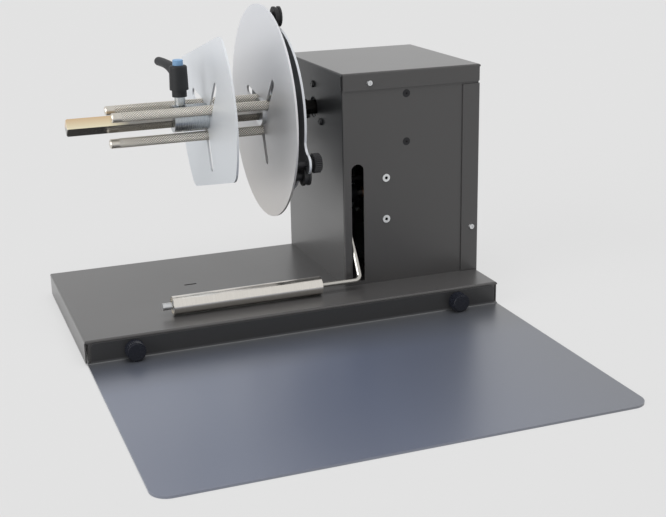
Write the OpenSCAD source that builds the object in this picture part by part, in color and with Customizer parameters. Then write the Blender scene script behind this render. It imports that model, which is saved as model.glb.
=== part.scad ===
// Label rewinder: a table-top machine that winds a web of labels onto a roll.
// The spindle lies along X, the operator stands on the -Y side, and Z is up.
// Places are measured from the front left corner of the base on the table.
// The bench() module then puts the origin under the middle of the whole machine.

/* [Base] */
// Length of the base along the spindle
base_l = 423; // [400:1:480]
// Depth of the base from front to back
base_w = 218; // [205:1:260]
// Height of the base's top face over the table
base_h = 24; // [22:0.5:30]
// Thickness of the painted steel sheet of base and housing
sheet = 1.2; // [1:0.1:1.6]
// Inside radius of every bend in the sheet
bend_in = 0.8; // [0.4:0.1:1.5]
// Width of the lip turned in at the bottom of the base
lip_w = 14; // [13:0.5:20]
// Open length of the slit at each corner of the base
base_slit = 3; // [2:0.5:5]
// Length of the small slot in the base's top
top_slot_l = 13.3; // [8:0.1:20]
// Width of the small slot in the base's top
top_slot_w = 2.7; // [2:0.1:5]
// Place of the small slot along the base
top_slot_x = 130; // [100:1:160]
// Place of the small slot from the base's front
top_slot_y = 121; // [90:1:140]
// Height of the rubber feet under the lip
foot_h = 2; // [1.6:0.1:4]
// Diameter of the rubber feet
foot_d = 12; // [9:0.5:13]

/* [Guide plate] */
// Length of the loose guide plate in front of the base
plate_l = 420.5; // [390:0.5:423]
// Reach of the guide plate from the base towards the operator
plate_w = 273; // [200:1:320]
// Thickness of the guide plate
plate_t = 2; // [1.5:0.1:2]
// Radius of the plate's two front corners
plate_r = 15; // [5:1:30]
// Height of the plate's upturned rear edge over the table
upstand_h = 21.5; // [19:0.5:22]
// How far the upturned edge stops short of the plate's left end
upstand_in = 3.5; // [2:0.5:8]
// Place of the left thumb screw along the base
thumb_left_x = 45; // [30:1:80]
// Place of the right thumb screw along the base
thumb_right_x = 376; // [340:1:390]
// Height of the thumb screws over the table
thumb_z = 11.5; // [11:0.1:12]
// Diameter of a thumb screw's knurled head
thumb_d = 18.7; // [14:0.1:18.8]
// Length of a thumb screw's head
thumb_l = 11; // [7:0.5:15]

/* [Housing] */
// Left face of the housing from the base's left end
house_x0 = 273; // [268:1:275]
// Front face of the housing from the base's front
house_y0 = 47.5; // [46:0.5:48]
// Height of the lid's top face over the table
house_top = 241.5; // [238:0.5:260]
// Depth of the lid's skirt
lid_skirt = 17.2; // [14:0.1:18]
// Width of the rear cover's strip on the front face
strip_w = 19.4; // [17:0.1:24]
// Gap between one sheet and the sheet that laps over it
seam = 0.2; // [0.1:0.05:0.4]
// Centre of the arm's slot in the front face
arm_slot_x = 289.6; // [289.2:0.1:290]
// Width of the arm's slot
arm_slot_w = 13.3; // [12.6:0.1:14.5]
// Lowest point of the arm's slot
arm_slot_z0 = 28; // [26:0.5:34]
// Highest point of the arm's slot
arm_slot_z1 = 150.4; // [148:0.2:152]

/* [Spindle] */
// Distance of the spindle's axis behind the base's front
spindle_y = 132.5; // [132:0.1:134]
// Height of the spindle's axis over the table
spindle_z = 196; // [194:0.1:197]
// Width across the flats of the square shaft
shaft_w = 12.3; // [12.1:0.05:12.4]
// Place of the shaft's free end
shaft_x0 = 18.6; // [10:0.2:30]
// Diameter of the shaft's round bearing journals
journal_d = 12; // [11.5:0.1:12]
// Diameter of both flanges
flange_d = 216.6; // [200:0.1:218]
// Thickness of the flanges
flange_t = 2; // [1.5:0.1:2.2]
// Front face of the inner flange
inner_x = 218.4; // [217:0.1:219]
// Front face of the outer flange
outer_x = 159.4; // [150:0.2:165]
// Distance between the outer flange's two flats
flats_w = 138.8; // [130:0.2:170]
// Direction of the outer flange's flats, seen from the free end
flats_a = 104; // [90:1:120]

/* [Core holder] */
// Diameter of the three knurled core posts
post_d = 10; // [9:0.1:10]
// Place of the posts' free ends
post_x0 = 60; // [45:0.5:80]
// Length of a post's smooth turned nose
nose_l = 9.5; // [6:0.5:12]
// Sideways offset of the straight slots from the spindle's axis
slot_off = 7.5; // [7.4:0.1:8]
// Direction of the first straight slot
slot_a = 50.1; // [45:0.1:55]
// Place of a post along its slot at rest
slot_u0 = 18.3; // [18.1:0.1:18.8]
// Place of a post along its slot when fully spread
slot_u1 = 49.4; // [44:0.2:50]
// Radius of the scroll plate behind the inner flange
scroll_r = 86; // [80:0.2:86]
// Thickness of the scroll plate
scroll_t = 2.5; // [2:0.1:3]
// Front face of the scroll plate
scroll_x = 233.9; // [233:0.1:235]
// Turn of the scroll plate for each millimetre of post travel, in degrees
scroll_rate = 2; // [1.8:0.05:2.05]
// Direction of the scroll plate's lug at rest
lug_a = -23.6; // [-24:0.1:-22]
// Radius of the lug's round end
lug_r = 10; // [8:0.5:10.5]

/* [Clamp lever] */
// Place of the lever's axis along the spindle
lever_x = 132.8; // [130:0.2:136]
// Front face of the clamp collar
collar_x0 = 124; // [122:0.2:125]
// Diameter of the clamp collar
collar_d = 27; // [25:0.1:28]
// Height of the lever body's foot over the spindle's axis
lever_foot_z = 22; // [21:0.1:24]
// Height of the lever body's wide part over the axis
lever_body_z = 29; // [27:0.1:30]
// Height of the lever body's top over the axis
lever_top_z = 53.2; // [51:0.1:56]
// Diameter of the lever's body at its foot
lever_d = 19; // [17:0.1:20]
// Plan distance of the arm's tip centre from the lever's axis
lever_reach = 50; // [45:0.5:60]
// Direction of the lever's arm, turned from -X away from the operator
lever_a = 81.0; // [60:0.2:100]
// Diameter of the push button in the lever
button_d = 10.5; // [9:0.1:11]
// Travel of the push button
button_travel = 2.5; // [1.5:0.1:3]

/* [Tension arm] */
// Diameter of the bent steel rod
rod_d = 5; // [4.6:0.1:5]
// Plane of the rod's long leg
arm_x = 286.2; // [286:0.1:286.6]
// Distance of the arm's pivot behind the base's front
pivot_y = 84.5; // [82:0.1:85]
// Height of the arm's pivot over the table
pivot_z = 112.3; // [111:0.1:114]
// Distance of the roller's axis behind the base's front
roller_y = 37; // [36:0.1:37]
// Height of the roller's axis over the table
roller_z = 33.6; // [33.6:0.1:36]
// Diameter of the roller
roller_d = 18.4; // [16:0.1:18.4]
// Left end of the roller
roller_x0 = 91.5; // [85:0.5:100]
// Right end of the roller
roller_x1 = 243; // [230:0.5:255]
// Wall of the roller tube
roller_wall = 1.6; // [1.2:0.1:2.5]
// Swing of the arm between its two stops, in degrees
arm_swing = 85; // [60:1:88]

/* [Drive] */
// Teeth on the driven pulley
driven_teeth = 36; // [32:1:38]
// Teeth on the motor pulley
motor_teeth = 16; // [14:1:18]
// Tooth pitch of the belt
belt_pitch = 5; // [4.8:0.1:5]
// Width of the belt
belt_w = 10; // [8:0.5:10]
// Thickness of the belt
belt_t = 1.8; // [1.5:0.1:2.5]
// Distance of the motor's axis behind the base's front
motor_y = 140; // [136:0.5:142]
// Height of the motor's axis over the table
motor_z = 95; // [93:0.5:97]
// Width of the square gearbox
gearbox_w = 60; // [54:1:62]
// Length of the gearbox
gearbox_l = 32; // [26:1:36]
// Diameter of the motor's can
can_d = 52; // [46:1:54]
// Length of the motor's can
can_l = 40; // [30:1:44]

/* [Power entry] */
// Place of the power inlet along the base
inlet_x = 392; // [388:1:394]
// Height of the power inlet and the switch over the table
entry_z = 60; // [55:1:64]
// Width of the power inlet's body
inlet_w = 27; // [26:0.5:28]
// Height of the power inlet's body
inlet_h = 20; // [19:0.5:21]
// Place of the rocker switch along the base
switch_x = 350; // [346:1:352]
// Width of the rocker
rocker_w = 15; // [12:0.5:16]
// Radius of the rocker about its pin
rocker_r = 9; // [8:0.5:9.5]
// Tilt of the rocker each way from level, in degrees
rocker_tilt = 10; // [8:1:12]

/* [Hidden] */

$fn = 64;
// Overrun of every cut
over = 1;
// Clearance on the diameter of a running fit
run_fit = 0.08;
// Gap between faces that pass each other
gap = 0.3;
// Clearance on the diameter of a screw in its hole
screw_fit = 0.1;
bend_r = bend_in + sheet;

// Housing faces that follow from the base
house_x1 = base_l + seam + sheet;
house_y1 = base_w + seam + sheet;
house_l = house_x1 - house_x0;
house_w = house_y1 - house_y0;
shell_x0 = house_x0 + sheet + seam;
shell_y0 = house_y0 + sheet + seam;
shell_top = house_top - sheet - seam;
shell_in_y = shell_y0 + sheet;
shell_in_x = shell_x0 + sheet;
skirt_z = house_top - lid_skirt;
// Top of the rear cover, just under the lid's skirt
cover_gap = 2.2;
cover_z1 = skirt_z - cover_gap;
// Lap of the rear cover over the base's outer walls
cover_lap = 4.8;
cover_z0 = base_h - cover_lap;
lid_slit = 1.8;
slit_stop = 2.6;

mid_x = house_x1 / 2;

// Screws: thread diameter, head diameter and head height
m3 = 3;
m3_head = 6;
m3_head_h = 1.9;
m4 = 4;
m4_head = 7.6;
m4_head_h = 2.4;
m5 = 5;
screw_l = 7;
recess_share = 0.55;
recess_w = 0.8;
recess_h = 0.9;

// Lid, cover and foot screws
lid_screw_x = 302.8;
lid_screw_z = house_top - 10.4;
lid_back_xs = [lid_screw_x, base_l - 25];
cover_screw_x = house_x1 - 7.9;
cover_screw_z = 71.9;
flange_in = 12;
cover_back_zs = [70, 190];
foot_flange_x0 = arm_slot_x + 12;
foot_flange_x1 = base_l - 25;
foot_flange_y0 = 90;
foot_flange_y1 = 200;
foot_screw_in = 7;
foot_front_xs = [foot_flange_x0 + 10, foot_flange_x1 - 8];
foot_left_ys = [foot_flange_y0 + 12, foot_flange_y1 - 12];

// Rear vents
vent_n = 8;
vent_w = 3;
vent_l = 26;
vent_step = 9;
vent_x0 = 322;
vent_z = 172;

// Bearing bracket
bracket_t = 2.5;
bracket_x = 333;
bracket_lug = 20;
bracket_z0 = 158;
bracket_z1 = 228;
bracket_low_y0 = 105;
bracket_low_y1 = 190;
bracket_top_y1 = 200;
bracket_screw_x = 342.9;
bracket_screw_zs = [169.1, 217.7];
csk_d = 8;
csk_h = 1.1;
bracket_foot_ys = [bracket_low_y0 + 12, bracket_low_y1 - 12];

// Bearings and their cups
bearing_d = 32;
bearing_w = 10;
bearing_fit = 0.04;
cup_wall = 4;
cup_flange_d = 58;
cup_flange_t = 3;
cup_lip = 2;
cup_pcd = 48;
cup_angles = [90, 210, 330];
cup_l = bearing_w + cup_lip;
shield_in = 0.6;
race_t = 3;
hole_shaft_d = 22;
journal_x0 = house_x0 - 6;
shoulder_d = 15;
clip_x = bracket_x + bracket_t + cup_l + 1.2;
clip_t = 1.2;
clip_d = 17;
journal_x1 = clip_x + clip_t + 1.4;
tip_chamfer = 1.2;

// Belt drive
belt_x0 = 315;
belt_x1 = belt_x0 + belt_w;
pulley_rim_t = 2;
pulley_rim = 2.2;
pulley_hub_l = 4;
groove_share = 0.42;
driven_r = driven_teeth * belt_pitch / 360 * 180 / PI;
motor_r = motor_teeth * belt_pitch / 360 * 180 / PI;
motor_shaft_d = 8;
motor_hub_d = 18;
driven_hub_d = 24;
motor_seat = 6;
motor_boss_d = 20;
motor_boss_l = 3;
gearbox_r = 6;
motor_screw_in = 7;
axle_dy = motor_y - spindle_y;
axle_dz = spindle_z - motor_z;
axle_gap = sqrt(axle_dy * axle_dy + axle_dz * axle_dz);

// Core holder
slot_outer_w = post_d + 0.5;
tail_d = 8;
slot_inner_w = tail_d + 0.6;
slot_in_u = slot_u0 - 2.6;
pin_d = 5.5;
pin_slot_w = pin_d + 0.6;
scroll_steps = 24;
end_steps = 10;
post_nut_d = 13;
post_nut_l = 6;
post_dirs = [0, 1, 2];
spigot_d = 21;
hub_d = 25.2;
hub_l = 26;
ring_nut_d = 28;
ring_nut_l = 4;
key_fit = 0.15;
guide_groove_d = 18.4;
guide_rim_d = 20.4;
guide_rim_t = 2;
guide_side = 0.3;
guide_r = scroll_r + gap + guide_groove_d / 2;
guide_angles = [87.3, -32.7, 207.3];
stud_d = 5;
stud_foot_d = 10;
stud_head_d = 8.4;
stud_head_t = 1.4;
guide_x0 = scroll_x - guide_side - guide_rim_t;
guide_x1 = scroll_x + scroll_t + guide_side + guide_rim_t;
lug_at = scroll_r + 10.2;
lug_fillet = 12;
knob_neck_d = 8.4;
knob_neck_l = 3.6;
knob_l = 8;
knob_d = 19.5;
knob_shank_d = 6;

// Clamp lever
lever_neck_d = 14.8;
lever_spigot_d = 10.5;
lever_thread_d = 8;
lever_round = 2.2;
lever_taper = 0.6;
button_seat_l = 9;
button_head_l = 5.6;
button_floor = 0.6;
arm_rings = 16;
arm_sides = 24;
// The arm's top edge sinks into the barrel at its root and ends at the crest; its lower edge sweeps
// up from the web's foot to the tip's underside
arm_root_sink = 1;
arm_crest_z = lever_top_z + 2.6;
arm_web_z = lever_body_z + 1;
arm_under_z = lever_top_z - 6.4;
arm_sweep = 4;
arm_tip_steps = 4;
arm_tip_share = 0.02;
arm_root_w = 6.4;
arm_tip_w = 4.9;

// Tension arm and its pivot
rod_bend = 6;
leg_dy = pivot_y - roller_y;
leg_dz = pivot_z - roller_z;
leg_l = sqrt(leg_dy * leg_dy + leg_dz * leg_dz);
arm_lean = atan2(leg_dy, leg_dz);
rod_past = 12;
hub_x0 = arm_x - 5.2;
arm_hub_l = 19;
arm_hub_d = 18;
pivot_d = 8;
pivot_x0 = arm_x + rod_d / 2 + 0.8;
rivet_x = 320.4;
rivet_zs = [90.9, 133.8];
rivet_d = 8;
rivet_hole = 6;
rivet_bore = 3.2;
rivet_rim = 0.9;
ear_t = 2;
u_w = 24;
u_h = 64;
u_x0 = rivet_x - u_w / 2;
u_x1 = rivet_x + u_w / 2;
u_z0 = pivot_z - u_h / 2;
u_z1 = pivot_z + u_h / 2;
bush_d = 11;
bush_rim_d = 14;
bush_rim_t = 1.2;
stop_r = 15;
stop_d = 5;
finger_a = 120;
finger_l = 18.5;
finger_x = arm_x + 9.8;
stop_step = 2 * asin((stop_d + gap) / 2 / stop_r);
sensor_d = 22;
sensor_l = 12;
pivot_x1 = u_x1 + 5.4;
cap_d = 7;
cap_l = 9.3;
cap_floor = 2;
bush_l = 8;
bush_in = 2.2;
roller_clip_t = 1;
roller_clip_d = 10;

// Control board
board_x0 = 345;
board_y0 = 76;
board_l = 64;
board_w = 108;
board_t = 1.6;
standoff_h = 6;
standoff_d = 6;
standoff_in = 5;
board_z = base_h + standoff_h;

// Power inlet and rocker switch
inlet_flange_w = 48;
inlet_flange_h = 23;
inlet_depth = 20;
inlet_wall = 2;
inlet_floor = 4;
inlet_floor_y = house_y1 - inlet_depth + inlet_floor;
inlet_screw = 40;
blade_w = 4;
blade_t = 1.6;
blade_l = 8;
blade_step = 7;
switch_wall = 1.6;
switch_rim = 2;
switch_depth = 16;
switch_floor = 2;
pin_in = 1.6;
rocker_pin_d = 3;
rocker_face = 2.4;
entry_proud = 2.5;
// The flanges are the rearmost point of the machine
mid_y = (spindle_y + flange_d / 2 - plate_w) / 2;

// Moves everything so that the origin lies under the middle of the machine
module bench() translate([-mid_x, -mid_y, 0]) children();

// Frames of the three axes that lie along X
module at_spindle() translate([0, spindle_y, spindle_z]) children();
module at_pivot() translate([0, pivot_y, pivot_z]) children();
module at_motor() translate([0, motor_y, motor_z]) children();

// Solid of a drawing seen from the free end: drawn right is the front, drawn up is up
module end_frame(x) translate([x, 0, 0]) rotate([90, 0, -90]) children();
module end_view(x0, x1) end_frame(x1) linear_extrude(x1 - x0) children();

// Solid of a drawing seen from the front
module front_view(y0, y1) translate([0, y1, 0]) rotate([90, 0, 0]) linear_extrude(y1 - y0) children();

// Round bars along X and along Y
module bar_x(x0, x1, d) translate([x0, 0, 0]) rotate([0, 90, 0]) cylinder(h = x1 - x0, d = d);
module bar_y(y0, y1, d) translate([0, y1, 0]) rotate([90, 0, 0]) cylinder(h = y1 - y0, d = d);

module ring_x(x0, x1, d, bore) difference() {
  bar_x(x0, x1, d);
  bar_x(x0 - over, x1 + over, bore);
}

// Point at radius r and angle a of an end view, in the machine's own axes
function around(x, r, a) = [x, -r * cos(a), r * sin(a)];

// Rectangle with round upper corners, the section of a folded sheet
module round_top(w, h, r) {
  square([w, h - r]);
  translate([r, 0]) square([w - 2 * r, h]);
  for (x = [r, w - r]) translate([x, h - r]) circle(r);
}

module folded_block(l, w, h, r) intersection() {
  rotate([90, 0, 90]) linear_extrude(l) round_top(w, h, r);
  translate([0, w, 0]) rotate([90, 0, 0]) linear_extrude(w) round_top(l, h, r);
}

// Shallow box of folded sheet, open below, with a slit at each corner
module folded_tray(l, w, h, slit) difference() {
  folded_block(l, w, h, bend_r);
  translate([sheet, sheet, -over]) folded_block(l - 2 * sheet, w - 2 * sheet, h - sheet + over, bend_in);
  for (x = [0, l], y = [0, w]) translate([x - slit, y - bend_r, -over])
    cube([2 * slit, 2 * bend_r, h - slit_stop + over]);
}

// Plan of two walls that meet in one bend
module corner_plan(l, w, r) {
  translate([r, 0]) square([l - r, w]);
  translate([0, r]) square([l, w - r]);
  translate([r, r]) circle(r);
}

module round_plan(l, w, r) {
  translate([r, 0]) square([l - 2 * r, w]);
  translate([0, r]) square([l, w - 2 * r]);
  for (x = [r, l - r], y = [r, w - r]) translate([x, y]) circle(r);
}

module stadium(x0, x1, w) {
  translate([x0, -w / 2]) square([x1 - x0, w]);
  for (x = [x0, x1]) translate([x, 0]) circle(d = w);
}

// Cheese-head screw with a cross recess: the head stands on z = 0, the thread hangs below
module screw(d, head_d, head_h, l) difference() {
  union() {
    translate([0, 0, -l]) cylinder(h = l, d = d);
    cylinder(h = head_h, d1 = head_d, d2 = head_d - head_h / 2);
  }
  for (a = [0, 90]) rotate(a) translate([-head_d * recess_share / 2, -recess_w / 2, head_h - recess_h])
    cube([head_d * recess_share, recess_w, recess_h + over]);
}

module m3_screw() screw(m3, m3_head, m3_head_h, screw_l);
module m4_screw() screw(m4, m4_head, m4_head_h, screw_l);
module facing_front(p) translate(p) rotate([90, 0, 0]) children();
module facing_back(p) translate(p) rotate([-90, 0, 0]) children();
module facing_left(p) translate(p) rotate([0, -90, 0]) children();
module facing_down(p) translate(p) rotate([180, 0, 0]) children();

function knurl(r, depth, n) = [for (i = [0:2 * n - 1]) let (a = 180 * i / n, q = i % 2 == 0 ? r : r - depth)
  [q * cos(a), q * sin(a)]];

// Knurled head of a hand screw, standing on z = 0
knurl_n = 32;
knurl_depth = 0.7;
face_rim = 0.9;
module knurled_head(d, l) {
  linear_extrude(l - face_rim) polygon(knurl(d / 2, knurl_depth, knurl_n));
  translate([0, 0, l - face_rim]) cylinder(h = face_rim, d1 = d - 3 * knurl_depth, d2 = d - 4 * knurl_depth);
}

// Base

foot_x_in = 30;
function foot_places() = [for (x = [foot_x_in, base_l - foot_x_in],
  y = [sheet + lip_w / 2, base_w - sheet - lip_w / 2]) [x, y]];
foot_stem_d = 5;
foot_head_d = 7;

module base_pan() color("dimgray") bench() difference() {
  union() {
    translate([0, 0, foot_h]) folded_tray(base_l, base_w, base_h - foot_h, base_slit);
    for (y = [sheet, base_w - sheet - lip_w]) translate([lip_w, y, foot_h])
      cube([base_l - 2 * lip_w, lip_w, sheet]);
  }
  translate([top_slot_x, top_slot_y, base_h - sheet - over]) linear_extrude(sheet + 2 * over)
    stadium(-(top_slot_l - top_slot_w) / 2, (top_slot_l - top_slot_w) / 2, top_slot_w);
  for (p = foot_places()) translate([p[0], p[1], foot_h - over])
    cylinder(h = sheet + 2 * over, d = foot_stem_d + screw_fit);
  for (x = [thumb_left_x, thumb_right_x]) translate([x, 0, thumb_z]) bar_y(-over, sheet + over, m5 + 2 * gap);
  for (x = foot_front_xs) translate([x, shell_y0 + foot_screw_in, base_h - sheet - over])
    cylinder(h = sheet + 2 * over, d = m4 + screw_fit);
  for (y = foot_left_ys) translate([shell_x0 + foot_screw_in, y, base_h - sheet - over])
    cylinder(h = sheet + 2 * over, d = m4 + screw_fit);
  for (y = bracket_foot_ys) translate([bracket_x - foot_screw_in, y, base_h - sheet - over])
    cylinder(h = sheet + 2 * over, d = m4 + screw_fit);
}

module base_feet() color("black") bench() for (p = foot_places()) translate([p[0], p[1], 0]) {
  cylinder(h = foot_h, d = foot_d);
  cylinder(h = foot_h + sheet + foot_h, d = foot_stem_d);
  translate([0, 0, foot_h + sheet]) cylinder(h = foot_h, d1 = foot_head_d, d2 = foot_stem_d);
}

thumb_nut_d = 9;
thumb_nut_l = 8;
module base_nuts() color("silver") bench() for (x = [thumb_left_x, thumb_right_x]) translate([x, 0, thumb_z])
  difference() {
    bar_y(sheet, sheet + thumb_nut_l, thumb_nut_d);
    bar_y(sheet - over, sheet + thumb_nut_l + over, m5 + run_fit);
  }

module foot_screws() color("silver") bench() {
  for (x = foot_front_xs) facing_down([x, shell_y0 + foot_screw_in, base_h - sheet]) m4_screw();
  for (y = foot_left_ys) facing_down([shell_x0 + foot_screw_in, y, base_h - sheet]) m4_screw();
  for (y = bracket_foot_ys) facing_down([bracket_x - foot_screw_in, y, base_h - sheet]) m4_screw();
}

// Guide plate and its two thumb screws

plate_x0 = 1.5;
plate_back = -seam;
upstand_r = 4;
plate_bend = plate_t + bend_in;
module plate_section() {
  difference() {
    union() {
      translate([-plate_w, 0]) square([plate_w + plate_back - plate_bend, plate_t]);
      translate([plate_back - plate_t, plate_bend]) square([plate_t, upstand_h - plate_bend]);
      intersection() {
        translate([plate_back - plate_bend, plate_bend]) circle(plate_bend);
        translate([plate_back - plate_bend, 0]) square([plate_bend, plate_bend]);
      }
    }
    translate([plate_back - plate_bend, plate_bend]) circle(bend_in);
  }
}

module guide_plate() color("slategray") bench() difference() {
  translate([plate_x0, 0, 0]) rotate([90, 0, 90]) linear_extrude(plate_l) plate_section();
  // Round front corners
  for (side = [0, 1]) translate([plate_x0 + side * plate_l, -plate_w, -over]) mirror([side, 0, 0])
    linear_extrude(plate_t + 2 * over) difference() {
      translate([-over, -over]) square([plate_r + over, plate_r + over]);
      translate([plate_r, plate_r]) circle(plate_r);
    }
  // The upturned edge stops short of both ends and has round upper corners
  for (side = [0, 1]) translate([plate_x0 + side * plate_l, 0, 0]) mirror([side, 0, 0]) {
    translate([-over, -plate_bend, plate_t + over]) cube([upstand_in + over, plate_bend, upstand_h]);
    translate([upstand_in, 0, upstand_h - upstand_r]) front_view(-plate_bend, over) difference() {
      translate([-over, 0]) square([upstand_r + over, upstand_r + over]);
      translate([upstand_r, 0]) circle(upstand_r);
    }
  }
  for (x = [thumb_left_x, thumb_right_x]) translate([x, 0, thumb_z]) bar_y(-plate_bend, over, m5 + 2 * gap);
}

module thumb_screw(x) color("black") bench() translate([x, 0, thumb_z]) {
  facing_front([0, plate_back - plate_t - gap, 0]) knurled_head(thumb_d, thumb_l);
  bar_y(plate_back - plate_t - gap, sheet + thumb_nut_l - gap, m5);
}
module thumb_screw_left() thumb_screw(thumb_left_x);
module thumb_screw_right() thumb_screw(thumb_right_x);

// Housing

module shell_holes() {
  // Slot for the arm, round at the top
  translate([arm_slot_x, 0]) rotate(90) {
    stadium(arm_slot_z0 + arm_slot_w / 2, arm_slot_z1 - arm_slot_w / 2, arm_slot_w);
    translate([arm_slot_z0, -arm_slot_w / 2]) square([arm_slot_w, arm_slot_w]);
  }
  for (z = rivet_zs) translate([rivet_x, z]) circle(d = rivet_hole + screw_fit);
  translate([lid_screw_x, lid_screw_z]) circle(d = m3 + screw_fit);
  translate([cover_screw_x, cover_screw_z]) circle(d = m3 + screw_fit);
}

module cup_holes() for (a = cup_angles) rotate(a) translate([cup_pcd / 2, 0]) circle(d = m4 + screw_fit);

module housing_shell() color("dimgray") bench() difference() {
  union() {
    translate([shell_x0, shell_y0, base_h]) linear_extrude(shell_top - base_h) difference() {
      corner_plan(base_l - shell_x0, base_w - shell_y0, bend_r);
      translate([sheet, sheet]) corner_plan(base_l - shell_x0, base_w - shell_y0, bend_in);
    }
    // Turned-in edge at the back, feet on the base
    translate([shell_x0, base_w - sheet, base_h]) cube([flange_in, sheet, shell_top - base_h]);
    translate([foot_flange_x0, shell_y0, base_h]) cube([foot_flange_x1 - foot_flange_x0, flange_in, sheet]);
    translate([shell_x0, foot_flange_y0, base_h]) cube([flange_in, foot_flange_y1 - foot_flange_y0, sheet]);
  }
  front_view(shell_y0 - over, shell_in_y + over) shell_holes();
  for (z = bracket_screw_zs) facing_front([bracket_screw_x, shell_y0, z]) {
    translate([0, 0, -csk_h]) cylinder(h = csk_h, d1 = m4 + screw_fit, d2 = csk_d + screw_fit);
    translate([0, 0, -sheet - over]) cylinder(h = sheet + 2 * over, d = m4 + screw_fit);
  }
  at_spindle() end_view(shell_x0 - over, shell_in_x + over) {
    circle(d = hole_shaft_d);
    cup_holes();
  }
  for (x = lid_back_xs) translate([x, 0, lid_screw_z])
    bar_y(base_w - sheet - over, base_w + over, m3 + screw_fit);
  for (z = cover_back_zs) translate([shell_x0 + foot_screw_in, 0, z])
    bar_y(base_w - sheet - over, base_w + over, m3 + screw_fit);
  for (x = foot_front_xs) translate([x, shell_y0 + foot_screw_in, base_h - over])
    cylinder(h = sheet + 2 * over, d = m4 + screw_fit);
  for (y = foot_left_ys) translate([shell_x0 + foot_screw_in, y, base_h - over])
    cylinder(h = sheet + 2 * over, d = m4 + screw_fit);
}

module housing_lid() color("dimgray") bench() difference() {
  translate([house_x0, house_y0, skirt_z]) folded_tray(house_l, house_w, lid_skirt, lid_slit);
  translate([lid_screw_x, 0, lid_screw_z]) bar_y(house_y0 - over, house_y0 + sheet + over, m3 + screw_fit);
  for (x = lid_back_xs) translate([x, 0, lid_screw_z])
    bar_y(house_y1 - sheet - over, house_y1 + over, m3 + screw_fit);
}

module rear_cover() color("dimgray") bench() difference() {
  translate([house_x0, house_y0, cover_z0]) linear_extrude(cover_z1 - cover_z0) difference() {
    round_plan(house_l, house_w, bend_r);
    translate([sheet, sheet]) round_plan(house_l - 2 * sheet, house_w - 2 * sheet, bend_in);
    translate([-over, -over]) square([shell_x0 - house_x0 + over, house_w + 2 * over]);
    translate([-over, -over]) square([house_l - strip_w + over, sheet + 2 * over]);
  }
  // The front strip stops over the base's top
  translate([house_x0 - over, house_y0 - over, cover_z0 - over])
    cube([base_l + seam - house_x0 + over, base_w + seam - house_y0 + over, cover_lap + seam + over]);
  translate([cover_screw_x, 0, cover_screw_z]) bar_y(house_y0 - over, house_y0 + sheet + over, m3 + screw_fit);
  for (z = cover_back_zs) translate([shell_x0 + foot_screw_in, 0, z])
    bar_y(house_y1 - sheet - over, house_y1 + over, m3 + screw_fit);
  front_view(house_y1 - sheet - over, house_y1 + over) {
    translate([inlet_x, entry_z]) square([inlet_w + 2 * gap, inlet_h + 2 * gap], center = true);
    for (x = [-1, 1]) translate([inlet_x + x * inlet_screw / 2, entry_z]) circle(d = m3 + screw_fit);
    translate([switch_x, entry_z]) square(switch_hole(), center = true);
    for (i = [0:vent_n - 1]) translate([vent_x0 + i * vent_step, vent_z]) rotate(90)
      stadium(-(vent_l - vent_w) / 2, (vent_l - vent_w) / 2, vent_w);
  }
}

module casing_screws() color("silver") bench() {
  facing_front([lid_screw_x, house_y0, lid_screw_z]) m3_screw();
  facing_front([cover_screw_x, house_y0, cover_screw_z]) m3_screw();
  for (x = lid_back_xs) facing_back([x, house_y1, lid_screw_z]) m3_screw();
  for (z = cover_back_zs) facing_back([shell_x0 + foot_screw_in, house_y1, z]) m3_screw();
  for (x = [-1, 1]) facing_back([inlet_x + x * inlet_screw / 2, house_y1 + entry_proud - m3_head_h, entry_z])
    m3_screw();
}

// Bearing bracket, bearings and motor

module bracket_face() {
  // Upper arm that carries the bearing, and the leg that carries the motor
  translate([-shell_in_y, 0]) mirror([1, 0]) translate([0, bracket_z0])
    square([bracket_top_y1 - shell_in_y, bracket_z1 - bracket_z0]);
  mirror([1, 0]) translate([bracket_low_y0, base_h])
    square([bracket_low_y1 - bracket_low_y0, bracket_z1 - base_h]);
}

module bearing_bracket() color("silver") bench() difference() {
  union() {
    end_view(bracket_x, bracket_x + bracket_t) bracket_face();
    translate([bracket_x, shell_in_y, bracket_z0]) cube([bracket_lug, bracket_t, bracket_z1 - bracket_z0]);
    translate([bracket_x - flange_in, bracket_low_y0, base_h])
      cube([flange_in + bracket_t, bracket_low_y1 - bracket_low_y0, bracket_t]);
  }
  at_spindle() end_view(bracket_x - over, bracket_x + bracket_t + over) {
    circle(d = hole_shaft_d);
    cup_holes();
  }
  at_motor() end_view(bracket_x - over, bracket_x + bracket_t + over) {
    circle(d = motor_boss_d + gap);
    motor_screw_places() circle(d = m4 + screw_fit);
  }
  for (z = bracket_screw_zs) translate([bracket_screw_x, 0, z])
    bar_y(shell_in_y - over, shell_in_y + bracket_t + over, m4 + screw_fit);
  for (y = bracket_foot_ys) translate([bracket_x - foot_screw_in, y, base_h - over])
    cylinder(h = bracket_t + 2 * over, d = m4 + screw_fit);
}

module bracket_screws() color("dimgray") bench() for (z = bracket_screw_zs)
  facing_front([bracket_screw_x, shell_y0, z]) difference() {
    union() {
      translate([0, 0, -csk_h]) cylinder(h = csk_h, d1 = m4, d2 = csk_d);
      translate([0, 0, -screw_l]) cylinder(h = screw_l - csk_h / 2, d = m4);
    }
    translate([0, 0, -recess_h]) cylinder(h = recess_h + over, d = csk_d * recess_share / 2);
  }

module bearing_cup() difference() {
  union() {
    bar_x(0, cup_flange_t, cup_flange_d);
    bar_x(0, cup_l, bearing_d + 2 * cup_wall);
  }
  bar_x(cup_lip, cup_l + over, bearing_d + bearing_fit);
  bar_x(-over, cup_l + over, hole_shaft_d);
  end_view(-over, cup_flange_t + over) cup_holes();
}

module bearing_cups() color("silver") bench() at_spindle() {
  translate([shell_in_x, 0, 0]) bearing_cup();
  translate([bracket_x + bracket_t, 0, 0]) bearing_cup();
}

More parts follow.
